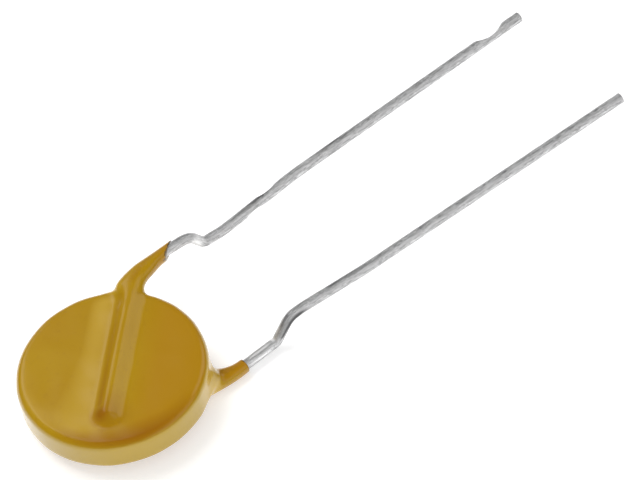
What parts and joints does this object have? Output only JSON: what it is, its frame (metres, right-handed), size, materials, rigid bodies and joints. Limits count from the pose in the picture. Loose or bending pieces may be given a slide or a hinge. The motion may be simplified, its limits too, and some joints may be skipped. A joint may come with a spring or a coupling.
{
  "type": "disc varistor",
  "caption": "Radial-leaded disc varistor, dipped in ochre resin, with two long kinked tinned wires.",
  "frame": {"origin": "on the surface that the part lies on, below the middle of its length and width", "axes": "+Y along the leads, towards their free ends; +Z along the disc's axis, out of its front face; +X across the leads"},
  "size_m": [0.0106, 0.0374, 0.0032],
  "materials": {
    "coating": "satin gloss dipped epoxy, ochre",
    "ceramic": "sintered zinc oxide, dark grey",
    "silver": "fired silver, matt",
    "solder": "solder, satin",
    "wire": "tinned wire, satin with drawing lines"
  },
  "bodies": {
    "root": {"coating": "coating", "ceramic_disc": "ceramic", "front_electrode": "silver", "back_electrode": "silver", "front_solder": "solder", "back_solder": "solder", "front_lead": "wire", "back_lead": "wire"}
  },
  "joints": []
}
